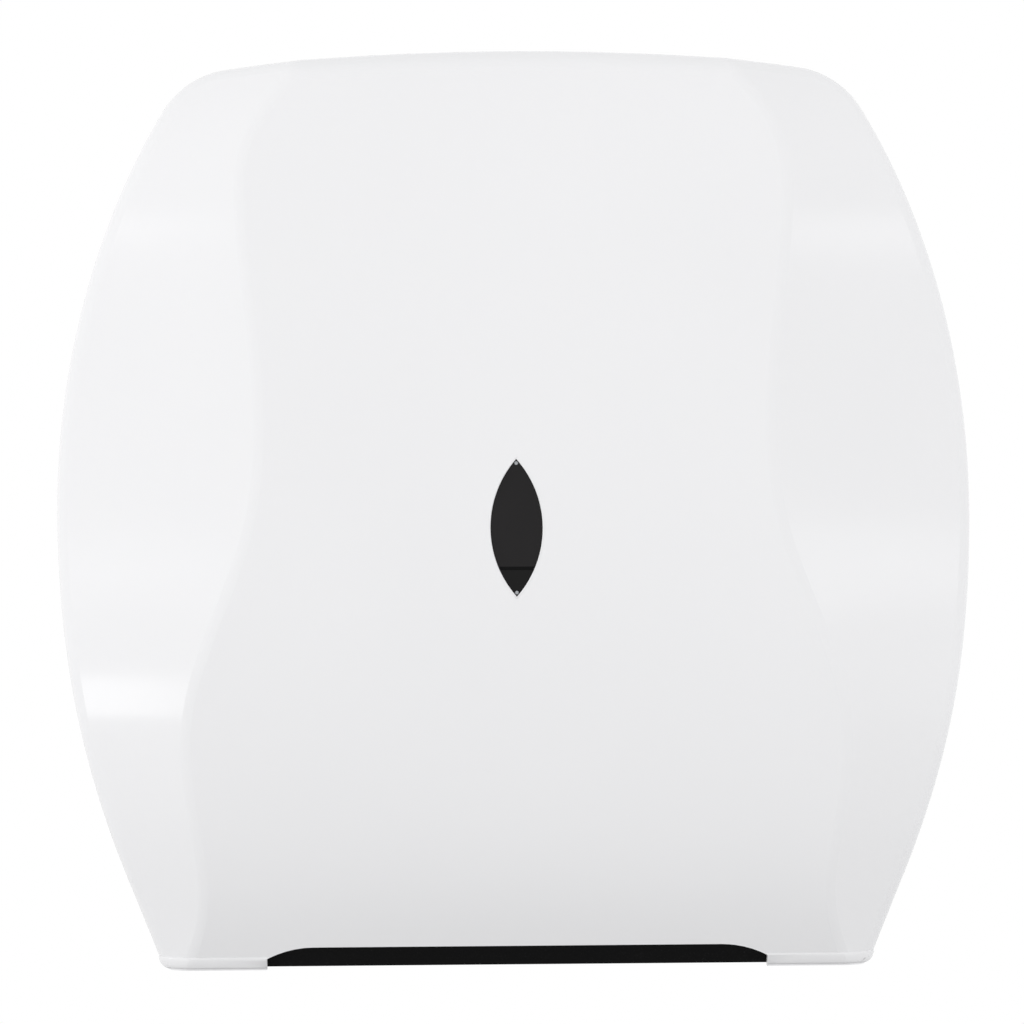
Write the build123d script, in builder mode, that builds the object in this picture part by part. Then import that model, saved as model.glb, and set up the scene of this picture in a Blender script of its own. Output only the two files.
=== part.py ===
from math import cos, radians, sqrt, tan
import os

from build123d import *

# A wall-mounted dispenser for interfolded paper towels. A tall white cover hangs on two
# hinge pins at its foot and folds down to the front. A keyed cam lock in its top holds it
# shut. Inside are a moulded back plate, two guides for the paper stack and a black tray
# with the outlet that the towels are pulled through.
# Millimetres. The origin is the centre of the four wall-screw holes on the wall plane.
# X is to the right, Y points into the wall, Z is up. "Depth" is the distance from the wall
# and "height" the distance above the cover's lower edge.

# Driving dimensions of the cover.
WIDTH, HEIGHT, DEPTH = 300.0, 289.2, 144.0
WIDEST = 147.0                  # height at which the cover is widest
UPPER_R, LOWER_R = 250.0, 329.0  # bow of the sides above and below that height
STRAIGHT_TO = 30.0              # below this height the sides are straight
TOP_CORNER, FOOT_CORNER = 31.0, 5.0
TOP_ARCH = 6.0
WALL = 3.0
REAR = 4.5                      # depth of the cover's rear edge
DRAFT = radians(2)
CREASE_R = 6.0
RIM_R = 8.0
SPARE = 15.0                    # the raw form runs this far below the lower edge

# The front's side view, as depth and height, and the crease beside the middle band.
FRONT_CURVE = [(90, -20), (104, 0), (119.5, 25), (129, 50), (139.5, 100), (144, 185),
               (141.5, 250), (136, 300)]
CREASE = [(29, -12), (53, 24), (74.5, 55), (85.5, 85), (84, 107), (76.5, 138), (74, 188),
          (76.5, 233), (73, 258), (53, 284), (23, 303)]
CREASE_DEPTH = DEPTH + 4
FACET_SLOPE = 1.6               # the side facet widens by this for each mm towards the wall

# Hinge, lock and back plate.
HINGE_DEPTH, HINGE_HEIGHT = 16.0, 11.5
EYE_R = 8.0
PIN_R = 2.5
BUSH_R, BUSH_BORE_R = 4.0, 2.55
LUG_X, EAR_X = (96.0, 106.5), (108.0, 116.5)
LOCK_DEPTH = 34.0
SEAT_TOP, SEAT_UNDER = 294.5, 289.7
SEAT_R = 14.0
BARREL_R, PLUG_R = 9.0, 6.0
CAM_TOP = 270.0
SCREW_X, SCREW_HEIGHTS = 80.0, (57.0, 237.0)
SCREW_R = 3.0
PANEL = (5.0, 7.5)              # depths of the back panel's two faces
SKIRT_GAP = 2.0
SKIRT_DEPTH = 24.0
TRAY_FLOOR = (21.0, 23.5)
TRAY_TOP = 42.0
TRAY_FOOT = 0.7
THREAD_R = 1.4

# Window.
WINDOW_HEIGHT = 141.0
LEAF = (8.5, 22.0)              # half width and half height of the leaf-shaped hole
WINDOW_OVAL = (15.0, 29.0)
WINDOW_THICK = 1.6
POST_R = 1.5
POSTS = [(0, 25.4), (0, -25.4), (11.8, 0), (-11.8, 0)]

BOTTOM = -WIDEST
FRONT = Plane(origin=(0, 0, BOTTOM), x_dir=(1, 0, 0), z_dir=(0, -1, 0))
SIDE = Plane(origin=(0, 0, BOTTOM), x_dir=(0, -1, 0), z_dir=(-1, 0, 0))
LEVEL = Plane(origin=(0, 0, BOTTOM), x_dir=(1, 0, 0), z_dir=(0, 0, 1))


def bow(height, inset=0.0):
    """Half the width where the sides are bowed."""
    radius = (UPPER_R if height > WIDEST else LOWER_R) - inset
    return WIDTH / 2 - inset - radius + sqrt(radius**2 - (height - WIDEST) ** 2)


def foot_slope(inset=0.0):
    """How fast half the width grows with height on the straight stretch."""
    drop = WIDEST - STRAIGHT_TO
    return drop / sqrt((LOWER_R - inset) ** 2 - drop**2)


def foot_width(height, inset=0.0):
    """Half the width where the sides are straight."""
    return bow(STRAIGHT_TO, inset) - (STRAIGHT_TO - height) * foot_slope(inset)


def outline(inset, foot=-SPARE):
    """The dispenser's front view, drawn in by inset, with a flat foot at a given height."""
    top_height = HEIGHT - inset
    with BuildSketch() as face:
        with BuildLine():
            low = Line((0, foot), (foot_width(foot, inset), foot))
            knee = Line(low @ 1, (bow(STRAIGHT_TO, inset), STRAIGHT_TO))
            side = RadiusArc(knee @ 1, (WIDTH / 2 - inset, WIDEST), -(LOWER_R - inset))
            shoulder = (bow(top_height, inset), top_height)
            up = RadiusArc(side @ 1, shoulder, -(UPPER_R - inset))
            middle = (shoulder[0] / 2, top_height + 0.75 * TOP_ARCH)
            top = ThreePointArc(up @ 1, middle, (0, top_height + TOP_ARCH))
            Line(top @ 1, low @ 0)
        make_face()
        mirror(about=Plane.YZ)
        corners = face.vertices().filter_by(lambda v: v.Y > top_height - 1 and abs(v.X) > 50)
        fillet(corners, TOP_CORNER - inset)
    return face.sketch


def side_view(inset):
    """Everything behind the front's curve, seen from the side."""
    samples = 12
    with BuildSketch() as face:
        with BuildLine():
            front = Spline(*FRONT_CURVE, mode=Mode.PRIVATE)
            if inset:
                # Each point moves square to the curve, towards the wall.
                places = [i / (samples - 1) for i in range(samples)]
                normals = [Vector(-(front % at).Y, (front % at).X) for at in places]
                points = [front @ at + normal * inset for at, normal in zip(places, normals)]
                front = Spline(*points)
            else:
                add(front)
            high, low = (front @ 1).Y, (front @ 0).Y
            Polyline(front @ 1, (-30, high), (-30, low), front @ 0)
        make_face()
    return face.sketch


def facet(inset):
    """What lies outside the crease on the right, at the crease's own depth."""
    shift = inset * sqrt(1 + FACET_SLOPE**2)
    with BuildSketch() as face:
        with BuildLine():
            edge = Spline(*[(x - shift, height) for x, height in CREASE])
            Polyline(edge @ 1, (260, 306), (260, -25), (10 - shift, -25), edge @ 0)
        make_face()
    return face.sketch


def behind_front(inset, reach):
    """The space behind the front's curve, between -reach and reach across."""
    with BuildPart() as space:
        with BuildSketch(SIDE.offset(-reach)):
            add(side_view(inset))
        extrude(amount=2 * reach)
    return space.part


def cover_form(inset):
    """The cover's solid form, drawn in by inset all round, open to the foot."""
    rear = 0 if inset else REAR
    front = CREASE_DEPTH + 2
    with BuildPart() as body:
        for depth in (rear, front):
            with BuildSketch(FRONT.offset(depth)):
                add(outline(inset + depth * tan(DRAFT)))
        loft(ruled=True)
        with BuildSketch(SIDE.offset(-WIDTH)):
            add(side_view(inset))
        extrude(amount=2 * WIDTH, mode=Mode.INTERSECT)
        with BuildSketch(FRONT.offset(CREASE_DEPTH)):
            add(facet(inset))
        right = extrude(amount=110, dir=(FACET_SLOPE, 1, 0), mode=Mode.PRIVATE)
        add(right, mode=Mode.SUBTRACT)
        mirror(right, about=Plane.YZ, mode=Mode.SUBTRACT)
        creases = body.edges().filter_by(
            lambda e: e.length > 200 and 60 < abs((e @ 0.5).X) < 100 and (e @ 0.5).Y < -135)
        fillet(creases, CREASE_R)
        walls = body.faces().filter_by(lambda f: f.bounding_box().max.Y > -REAR - 0.1)
        walls = walls.filter_by(lambda f: f.bounding_box().min.Y < -60)
        uses = {}
        for edge in walls.edges():
            uses.setdefault(edge, []).append(edge)
        rim = [edge for edge, found in uses.items() if len(found) == 1]
        rim = [e for e in rim if (e @ 0.5).Y < -85 and (e @ 0.5).Z > BOTTOM - 12]
        fillet(rim, RIM_R - inset if inset < 5 else RIM_R - 5)
    return body.part


def leaf(clearance=0.0):
    """The pointed oval of the window."""
    half_x, half_h = LEAF[0] - clearance, LEAF[1] - 1.5 * clearance
    low, high = WINDOW_HEIGHT - half_h, WINDOW_HEIGHT + half_h
    with BuildSketch() as face:
        with BuildLine():
            ThreePointArc((0, low), (half_x, WINDOW_HEIGHT), (0, high))
            ThreePointArc((0, high), (-half_x, WINDOW_HEIGHT), (0, low))
        make_face()
    return face.sketch


def block(x, depth, height, mode=Mode.ADD):
    """A rectangular block between pairs of limits."""
    middle = (sum(x) / 2, -sum(depth) / 2, BOTTOM + sum(height) / 2)
    with Locations(middle):
        Box(x[1] - x[0], depth[1] - depth[0], height[1] - height[0], mode=mode)


def rod_across(x, depth, height, radius, mode=Mode.ADD):
    """A round bar lying along X between two limits."""
    with Locations(Location(((x[0] + x[1]) / 2, -depth, BOTTOM + height), (0, 90, 0))):
        Cylinder(radius, x[1] - x[0], mode=mode)


def rod_upright(x, depth, height, radius, mode=Mode.ADD):
    with Locations((x, -depth, BOTTOM + sum(height) / 2)):
        Cylinder(radius, height[1] - height[0], mode=mode)


def rod_outward(x, depth, height, radius, mode=Mode.ADD):
    with Locations(Location((x, -sum(depth) / 2, BOTTOM + height), (90, 0, 0))):
        Cylinder(radius, depth[1] - depth[0], mode=mode)


def both_sides(limits):
    """A pair of X limits and its mirror image."""
    return [limits, (-limits[1], -limits[0])]


parts = {}

# Front cover: one moulded shell with the window hole, the outlet's finger notch, the hinge
# ears, the lock's seat and four posts for the window.
NOTCH_HALF, NOTCH_HEIGHT, NOTCH_END = 80.0, 7.6, 3.7
NOTCH_ROUND = 15.0
POST_DEPTH = 134.0

with BuildPart() as hollow:
    add(cover_form(WALL))
    for x in both_sides((EAR_X[0], WIDTH / 2)):
        rod_across(x, HINGE_DEPTH, HINGE_HEIGHT, EYE_R, mode=Mode.SUBTRACT)
    rod_upright(0, LOCK_DEPTH, (SEAT_UNDER, SEAT_TOP), SEAT_R, mode=Mode.SUBTRACT)
    for x, rise in POSTS:
        rod_outward(x, (POST_DEPTH, DEPTH), WINDOW_HEIGHT + rise, POST_R, mode=Mode.SUBTRACT)

with BuildPart() as front_cover:
    add(cover_form(0))
    block((-WIDTH, WIDTH), (-10, 200), (-50, 0), mode=Mode.SUBTRACT)
    rod_upright(0, LOCK_DEPTH, (SEAT_UNDER, SEAT_TOP), SEAT_R)
    add(hollow.part, mode=Mode.SUBTRACT)
    rod_upright(0, LOCK_DEPTH, (SEAT_UNDER - 1, SEAT_TOP + 1), BARREL_R + 0.1, mode=Mode.SUBTRACT)
    with BuildSketch(FRONT.offset(100)):
        add(leaf())
    extrude(amount=80, mode=Mode.SUBTRACT)
    with BuildSketch(FRONT.offset(60)):
        with BuildLine():
            right_end = Line((NOTCH_HALF, -1), (NOTCH_HALF, NOTCH_END))
            crown = (NOTCH_HALF - NOTCH_ROUND, NOTCH_HEIGHT)
            TangentArc(crown, right_end @ 1, tangent=(1, 0))
            Polyline(crown, (0, NOTCH_HEIGHT), (0, -1), right_end @ 0)
        make_face()
        mirror(about=Plane.YZ)
    extrude(amount=90, mode=Mode.SUBTRACT)
    # Seen from the front, the foot's corners are round.
    slope = foot_slope()
    lean = sqrt(1 + slope**2)
    tangent = FOOT_CORNER * (lean - slope)
    corner_x = foot_width(0)
    start = (corner_x + tangent * slope / lean, tangent / lean)
    with BuildSketch(FRONT):
        with BuildLine():
            RadiusArc(start, (corner_x - tangent, 0), FOOT_CORNER)
            Polyline((corner_x - tangent, 0), (corner_x - tangent, -5), (corner_x + 20, -5),
                     (corner_x + 20, start[1]), start)
        make_face()
    right_foot = extrude(amount=160, dir=(-tan(DRAFT) * lean, -1, 0), mode=Mode.PRIVATE)
    add(right_foot, mode=Mode.SUBTRACT)
    mirror(right_foot, about=Plane.YZ, mode=Mode.SUBTRACT)
    # The rear lower corners are round about the hinge, so that they clear the wall.
    with BuildSketch(SIDE.offset(-WIDTH / 2)):
        with BuildLine():
            turn = CenterArc((HINGE_DEPTH, HINGE_HEIGHT), HINGE_DEPTH - REAR, 180, 90)
            Polyline(turn @ 1, (HINGE_DEPTH, -1), (REAR - 1, -1), (REAR - 1, HINGE_HEIGHT), turn @ 0)
        make_face()
    extrude(amount=WIDTH, mode=Mode.SUBTRACT)
    for x in both_sides(EAR_X):
        rod_across(x, HINGE_DEPTH, HINGE_HEIGHT, BUSH_R, mode=Mode.SUBTRACT)
parts["front_cover"] = front_cover

# Window: a smoked lens that fills the leaf-shaped hole, with a flange behind the shell.
LENS_RECESS = 0.8
with BuildPart() as view_window:
    with BuildSketch(FRONT.offset(120)):
        add(leaf(0.15))
    extrude(amount=40)
    add(behind_front(LENS_RECESS, 40), mode=Mode.INTERSECT)
    with BuildSketch(FRONT.offset(120)):
        with Locations((0, WINDOW_HEIGHT)):
            Ellipse(*WINDOW_OVAL)
    plate = extrude(amount=40, mode=Mode.PRIVATE)
    add(plate.intersect(behind_front(WALL, 40)))
    add(behind_front(WALL + WINDOW_THICK, 40), mode=Mode.SUBTRACT)
    for x, rise in POSTS:
        rod_outward(x, (100, 160), WINDOW_HEIGHT + rise, POST_R + 0.1, mode=Mode.SUBTRACT)
parts["view_window"] = view_window

# Push-on clips on the four posts hold the window.
CLIP_R, CLIP_THICK = 4.0, 0.8
with BuildPart() as window_clips:
    for x, rise in POSTS:
        rod_outward(x, (120, 160), WINDOW_HEIGHT + rise, CLIP_R)
    add(behind_front(WALL + WINDOW_THICK, 40), mode=Mode.INTERSECT)
    add(behind_front(WALL + WINDOW_THICK + CLIP_THICK, 40), mode=Mode.SUBTRACT)
    for x, rise in POSTS:
        rod_outward(x, (100, 160), WINDOW_HEIGHT + rise, POST_R, mode=Mode.SUBTRACT)
parts["window_clips"] = window_clips

# Back plate: a flange against the wall, a skirt inside the cover and a panel between them.
FLANGE_DEPTH = 4.0
SKIRT_WALL = 2.5
POCKET_TOP = 30.0
WELL_R, WELL_WALL, WELL_FLOOR = 10.0, 2.0, 2.5
RIB_XS = (-60, -30, 0, 30, 60)
LEDGE_X, LEDGE_FRONT, LEDGE_FOOT = (84.0, 94.0), 48.0, 9.0
LEDGE_SCREWS = (20.0, 40.0)
GUIDE_BOSS_X, GUIDE_HEIGHTS = 111.0, (75.0, 180.0)
GUIDE_REAR = 9.0
KEEPER_X, KEEPER_FOOT, KEEPER_TOP = (11.0, 25.0), 238.0, 262.0
KEEPER_SCREWS = (243.5, 252.5)

with BuildPart() as back_plate:
    skirt_inset = WALL + SKIRT_GAP
    with BuildSketch(FRONT):
        add(outline(0.6, foot=0.6))
    extrude(amount=FLANGE_DEPTH)
    with BuildSketch(FRONT):
        add(outline(skirt_inset, foot=4.5))
    extrude(amount=SKIRT_DEPTH)
    for start, end in ((-1, PANEL[0]), (PANEL[1], SKIRT_DEPTH + 1)):
        with BuildSketch(FRONT.offset(start)):
            add(outline(skirt_inset + SKIRT_WALL, foot=7))
        extrude(amount=end - start, mode=Mode.SUBTRACT)
    for x in RIB_XS:
        block((x - 1.5, x + 1.5), (PANEL[1] - 0.5, PANEL[1] + 1.5), (45, 230))
    for x in (-SCREW_X, SCREW_X):
        for height in SCREW_HEIGHTS:
            rod_outward(x, (0, PANEL[1]), height, WELL_R)
            rod_outward(x, (WELL_FLOOR, SKIRT_DEPTH), height, WELL_R - WELL_WALL, mode=Mode.SUBTRACT)
            rod_outward(x, (-1, SKIRT_DEPTH), height, SCREW_R, mode=Mode.SUBTRACT)
    # A pocket at each lower corner leaves room for the cover's ear and wall as they turn.
    for x in both_sides((EAR_X[0] - 1.2, WIDTH / 2)):
        block(x, (FLANGE_DEPTH, SKIRT_DEPTH + 2), (-1, POCKET_TOP), mode=Mode.SUBTRACT)
    for side in both_sides((EAR_X[0] - 3, WIDTH / 2)):
        with BuildSketch(FRONT.offset(FLANGE_DEPTH - 2)):
            add(outline(2, foot=2))
            with Locations((sum(side) / 2, POCKET_TOP / 2 + 1)):
                Rectangle(side[1] - side[0], POCKET_TOP + 2, mode=Mode.INTERSECT)
        extrude(amount=2)
    for x in both_sides(LUG_X):
        rod_across(x, HINGE_DEPTH, HINGE_HEIGHT, EYE_R)
        block(x, (PANEL[1] - 0.5, HINGE_DEPTH), (HINGE_HEIGHT - EYE_R, HINGE_HEIGHT + EYE_R))
        rod_across(x, HINGE_DEPTH, HINGE_HEIGHT, PIN_R, mode=Mode.SUBTRACT)
    for x in both_sides(LEDGE_X):
        hole_x = sum(x) / 2
        block(x, (PANEL[1] - 0.5, LEDGE_FRONT), (LEDGE_FOOT, TRAY_FLOOR[0]))
        core = (x[0] + 2, x[1] - 2)
        block(core, (PANEL[1] + 2, LEDGE_FRONT - 2), (LEDGE_FOOT - 1, 16), mode=Mode.SUBTRACT)
        for depth in LEDGE_SCREWS:
            rod_upright(hole_x, depth, (12, TRAY_FLOOR[0] + 1), THREAD_R, mode=Mode.SUBTRACT)
    for x in (-GUIDE_BOSS_X, GUIDE_BOSS_X):
        for height in GUIDE_HEIGHTS:
            rod_outward(x, (PANEL[0] - 3, GUIDE_REAR), height, 4.5)
            rod_outward(x, (PANEL[0] - 4, GUIDE_REAR + 1), height, THREAD_R, mode=Mode.SUBTRACT)
    # The skirt stops short of the lock's seat and nut.
    block((-17, 17), (LOCK_DEPTH - SEAT_R - 2.5, SKIRT_DEPTH + 2), (278, 300), mode=Mode.SUBTRACT)
    for height in KEEPER_SCREWS:
        rod_outward(sum(KEEPER_X) / 2, (PANEL[0] - 3.5, PANEL[1]), height, 4)
        rod_outward(sum(KEEPER_X) / 2, (0, PANEL[1] + 1), height, THREAD_R, mode=Mode.SUBTRACT)
parts["back_plate"] = back_plate

# Outlet tray: black, with a floor for the paper stack, a front apron that follows the
# cover's chin, and the outlet with a throat under it.
TRAY_SIDE, TRAY_SKIN = 7.8, 2.2
TRAY_GAP = 1.0
OUTLET = (150.0, 44.0)
OUTLET_DEPTH = 58.0
OUTLET_CORNER = 10.0
THROAT_FOOT = 4.0
TRAY_REAR = 8.0

with BuildPart() as outlet_tray:
    with BuildSketch(FRONT.offset(TRAY_REAR)):
        add(outline(TRAY_SIDE, foot=TRAY_FOOT))
    extrude(amount=DEPTH)
    block((-WIDTH, WIDTH), (-10, 200), (TRAY_TOP, HEIGHT + 50), mode=Mode.SUBTRACT)
    add(cover_form(WALL + TRAY_GAP), mode=Mode.INTERSECT)
    with BuildPart(mode=Mode.PRIVATE) as inside:
        with BuildSketch(FRONT):
            add(outline(TRAY_SIDE + TRAY_SKIN, foot=-SPARE))
        extrude(amount=DEPTH)
        add(cover_form(WALL + TRAY_GAP + TRAY_SKIN), mode=Mode.INTERSECT)
        block((-WIDTH, WIDTH), (-10, 200), TRAY_FLOOR, mode=Mode.SUBTRACT)
    add(inside.part, mode=Mode.SUBTRACT)
    # Below the floor the side walls start in front of the hinge.
    for x in both_sides((EAR_X[0] - 8, WIDTH / 2)):
        block(x, (0, 40), (-1, TRAY_FLOOR[0]), mode=Mode.SUBTRACT)
    for x in both_sides((EAR_X[0] - 1, WIDTH / 2)):
        block(x, (0, 28), (-1, TRAY_FLOOR[1] + 1), mode=Mode.SUBTRACT)
    with BuildSketch(LEVEL.offset(TRAY_FLOOR[0] - 1)):
        with Locations((0, -OUTLET_DEPTH)):
            RectangleRounded(OUTLET[0] + 2 * TRAY_SKIN, OUTLET[1] + 2 * TRAY_SKIN, OUTLET_CORNER)
    extrude(amount=TRAY_TOP, mode=Mode.SUBTRACT)
    for x in (-89, 89):
        for depth in LEDGE_SCREWS:
            rod_upright(x, depth, (TRAY_FLOOR[0] - 1, TRAY_FLOOR[1] + 1), THREAD_R + 0.2, mode=Mode.SUBTRACT)
parts["outlet_tray"] = outlet_tray

# The throat is an insert that drops into the tray's hole and rests on its rim.
THROAT_RIM, THROAT_RIM_THICK = 2.5, 1.2
with BuildPart() as outlet_throat:
    for foot, top, grow in ((THROAT_FOOT, TRAY_FLOOR[1], 0),
                            (TRAY_FLOOR[1], TRAY_FLOOR[1] + THROAT_RIM_THICK, THROAT_RIM)):
        spread = 2 * (TRAY_SKIN + grow)
        with BuildSketch(LEVEL.offset(foot)):
            with Locations((0, -OUTLET_DEPTH)):
                RectangleRounded(OUTLET[0] + spread, OUTLET[1] + spread, OUTLET_CORNER + grow)
        extrude(amount=top - foot)
    with BuildSketch(LEVEL):
        with Locations((0, -OUTLET_DEPTH)):
            RectangleRounded(*OUTLET, OUTLET_CORNER - TRAY_SKIN)
    extrude(amount=TRAY_TOP, mode=Mode.SUBTRACT)
    fillet(outlet_throat.edges().group_by(Axis.Z)[-1], 1.1)
parts["outlet_throat"] = outlet_throat

# Four screws clamp the tray to the back plate's ledges.
with BuildPart() as tray_screws:
    for x in (-89, 89):
        for depth in LEDGE_SCREWS:
            rod_upright(x, depth, (13, TRAY_FLOOR[1]), THREAD_R)
            rod_upright(x, depth, (TRAY_FLOOR[1], TRAY_FLOOR[1] + 1.8), 2.8)
    heads = tray_screws.edges().group_by(Axis.Z)[-1]
    fillet(heads, 0.8)
    for x in (-89, 89):
        for depth in LEDGE_SCREWS:
            cross = (TRAY_FLOOR[1] + 0.9, TRAY_FLOOR[1] + 2)
            block((x - 1.5, x + 1.5), (depth - 0.3, depth + 0.3), cross, mode=Mode.SUBTRACT)
            block((x - 0.3, x + 0.3), (depth - 1.5, depth + 1.5), cross, mode=Mode.SUBTRACT)
parts["tray_screws"] = tray_screws

# Side guides: thin plates that stand off the back plate and keep the stack in the middle.
GUIDE_X = (117.0, 119.2)
GUIDE_RISE = (44.5, 205.0)
GUIDE_FRONT, GUIDE_FLARE = 95.0, 3.5
TAB_INNER, TAB_HALF, TAB_SKIN = 105.0, 8.0, 2.2


def side_guide():
    with BuildPart() as guide:
        with BuildSketch(LEVEL.offset(GUIDE_RISE[0])):
            with BuildLine():
                inner, outer = GUIDE_X
                Polyline((inner, -GUIDE_REAR), (outer, -GUIDE_REAR), (outer, 8 - GUIDE_FRONT),
                         (outer + GUIDE_FLARE, -GUIDE_FRONT), (inner + GUIDE_FLARE, -GUIDE_FRONT),
                         (inner, 8 - GUIDE_FRONT), (inner, -GUIDE_REAR))
            make_face()
        extrude(amount=GUIDE_RISE[1] - GUIDE_RISE[0])
        with BuildSketch(SIDE.offset(-WIDTH / 2)):
            with Locations((GUIDE_FRONT - 100, sum(GUIDE_RISE) / 2)):
                RectangleRounded(200, GUIDE_RISE[1] - GUIDE_RISE[0], 10)
        extrude(amount=WIDTH / 2, mode=Mode.INTERSECT)
        for height in GUIDE_HEIGHTS:
            tab = (height - TAB_HALF, height + TAB_HALF)
            block((TAB_INNER, outer), (GUIDE_REAR, GUIDE_REAR + TAB_SKIN), tab)
            limits = (GUIDE_REAR - 1, GUIDE_REAR + TAB_SKIN + 1)
            rod_outward(GUIDE_BOSS_X, limits, height, THREAD_R + 0.2, mode=Mode.SUBTRACT)
        ends = guide.edges().filter_by(Axis.Y).group_by(Axis.X)[0]
        fillet(ends, 3)
    return guide


side_guide_right = side_guide()
parts["side_guide_right"] = side_guide_right
with BuildPart() as side_guide_left:
    mirror(side_guide_right.part, about=Plane.YZ)
parts["side_guide_left"] = side_guide_left

# The guides' screws.
with BuildPart() as guide_screws:
    for x in (-GUIDE_BOSS_X, GUIDE_BOSS_X):
        for height in GUIDE_HEIGHTS:
            face = GUIDE_REAR + TAB_SKIN
            rod_outward(x, (PANEL[0] - 2, face), height, THREAD_R)
            rod_outward(x, (face, face + 1.8), height, 2.8)
    heads = guide_screws.edges().group_by(Axis.Y)[0]
    fillet(heads, 0.8)
    for x in (-GUIDE_BOSS_X, GUIDE_BOSS_X):
        for height in GUIDE_HEIGHTS:
            cross = (GUIDE_REAR + TAB_SKIN + 0.9, GUIDE_REAR + TAB_SKIN + 2)
            block((x - 1.5, x + 1.5), cross, (height - 0.3, height + 0.3), mode=Mode.SUBTRACT)
            block((x - 0.3, x + 0.3), cross, (height - 1.5, height + 1.5), mode=Mode.SUBTRACT)
parts["guide_screws"] = guide_screws

# Hinge: a headed steel pin through each lug, turning in a nylon bush in the cover's ear.
PIN_END, PIN_HEAD_R, PIN_HEAD = 115.5, 4.0, 1.4
BUSH_FLANGE_R, BUSH_FLANGE = 5.5, 1.0
for side_name, turn in (("right", 1), ("left", -1)):
    def span(start, end):
        return tuple(sorted((turn * start, turn * end)))

    with BuildPart() as hinge_pin:
        rod_across(span(LUG_X[0], PIN_END), HINGE_DEPTH, HINGE_HEIGHT, PIN_R)
        rings = hinge_pin.edges().filter_by(GeomType.CIRCLE)
        chamfer(rings.sort_by(lambda e: abs((e @ 0).X))[-1], 0.6)
        rod_across(span(LUG_X[0] - PIN_HEAD, LUG_X[0]), HINGE_DEPTH, HINGE_HEIGHT, PIN_HEAD_R)
        rings = hinge_pin.edges().filter_by(GeomType.CIRCLE)
        fillet(rings.sort_by(lambda e: abs((e @ 0).X))[0], 0.6)
    parts[f"hinge_pin_{side_name}"] = hinge_pin

    with BuildPart() as hinge_bush:
        rod_across(span(*EAR_X), HINGE_DEPTH, HINGE_HEIGHT, BUSH_R)
        rod_across(span(EAR_X[0] - BUSH_FLANGE, EAR_X[0]), HINGE_DEPTH, HINGE_HEIGHT, BUSH_FLANGE_R)
        rod_across(span(EAR_X[0] - 2, PIN_END + 0.5), HINGE_DEPTH, HINGE_HEIGHT, BUSH_BORE_R,
                   mode=Mode.SUBTRACT)
    parts[f"hinge_bush_{side_name}"] = hinge_bush

# Keeper: a bent steel strip on the back plate, whose tab the lock's cam turns behind.
STRIP = 2.0
KEEPER_REACH, TAB_TOP = 42.5, 273.0
with BuildPart() as latch_keeper:
    with BuildSketch(SIDE.offset(-KEEPER_X[1])) as bent:
        rear, shelf = PANEL[1], KEEPER_TOP
        with BuildLine():
            Polyline((rear, KEEPER_FOOT), (rear + STRIP, KEEPER_FOOT), (rear + STRIP, shelf - STRIP),
                     (KEEPER_REACH, shelf - STRIP), (KEEPER_REACH, TAB_TOP),
                     (KEEPER_REACH - STRIP, TAB_TOP), (KEEPER_REACH - STRIP, shelf), (rear, shelf),
                     close=True)
        make_face()
        inner_bends = bent.vertices().filter_by(
            lambda v: (round(v.X, 1), round(v.Y, 1)) in ((rear + STRIP, shelf - STRIP),
                                                         (KEEPER_REACH - STRIP, shelf)))
        fillet(inner_bends, 1)
        outer_bends = bent.vertices().filter_by(
            lambda v: (round(v.X, 1), round(v.Y, 1)) in ((rear, shelf),
                                                         (KEEPER_REACH, shelf - STRIP)))
        fillet(outer_bends, 1 + STRIP)
    extrude(amount=KEEPER_X[1] - KEEPER_X[0])
    for height in KEEPER_SCREWS:
        limits = (PANEL[1] - 1, PANEL[1] + STRIP + 1)
        rod_outward(sum(KEEPER_X) / 2, limits, height, THREAD_R + 0.2, mode=Mode.SUBTRACT)
    tips = latch_keeper.edges().filter_by(Axis.Y).group_by(Axis.Z)
    fillet(tips[-1] + tips[0], 2)
parts["latch_keeper"] = latch_keeper

with BuildPart() as keeper_screws:
    for height in KEEPER_SCREWS:
        face = PANEL[1] + STRIP
        rod_outward(sum(KEEPER_X) / 2, (PANEL[0] - 2.5, face), height, THREAD_R)
        rod_outward(sum(KEEPER_X) / 2, (face, face + 1.8), height, 2.8)
    fillet(keeper_screws.edges().group_by(Axis.Y)[0], 0.8)
    for height in KEEPER_SCREWS:
        x = sum(KEEPER_X) / 2
        cross = (PANEL[1] + STRIP + 0.9, PANEL[1] + STRIP + 2)
        block((x - 1.5, x + 1.5), cross, (height - 0.3, height + 0.3), mode=Mode.SUBTRACT)
        block((x - 0.3, x + 0.3), cross, (height - 1.5, height + 1.5), mode=Mode.SUBTRACT)
parts["keeper_screws"] = keeper_screws

# Lock: a flanged barrel in the cover's top, clamped by a washer and a nut, with a keyed plug
# that carries the cam.
FLANGE_R, FLANGE_THICK = 11.0, 2.0
BARREL_FOOT = 272.0
PLUG_GAP = 0.05
WASHER_THICK, WASHER_R, TEETH = 0.8, 13.0, 12
NUT_THICK, NUT_FLATS = 4.0, 24.0
CAM_THICK, CAM_WIDTH, CAM_REACH = 2.0, 10.0, 18.0
STUD = 6.0
lock_axis = (0, -LOCK_DEPTH)

with BuildPart() as lock_barrel:
    rod_upright(0, LOCK_DEPTH, (SEAT_TOP, SEAT_TOP + FLANGE_THICK), FLANGE_R)
    fillet(lock_barrel.edges().group_by(Axis.Z)[-1], 1.2)
    rod_upright(0, LOCK_DEPTH, (BARREL_FOOT, SEAT_TOP), BARREL_R)
    rod_upright(0, LOCK_DEPTH, (BARREL_FOOT - 1, HEIGHT + 10), PLUG_R + PLUG_GAP, mode=Mode.SUBTRACT)
parts["lock_barrel"] = lock_barrel

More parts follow.
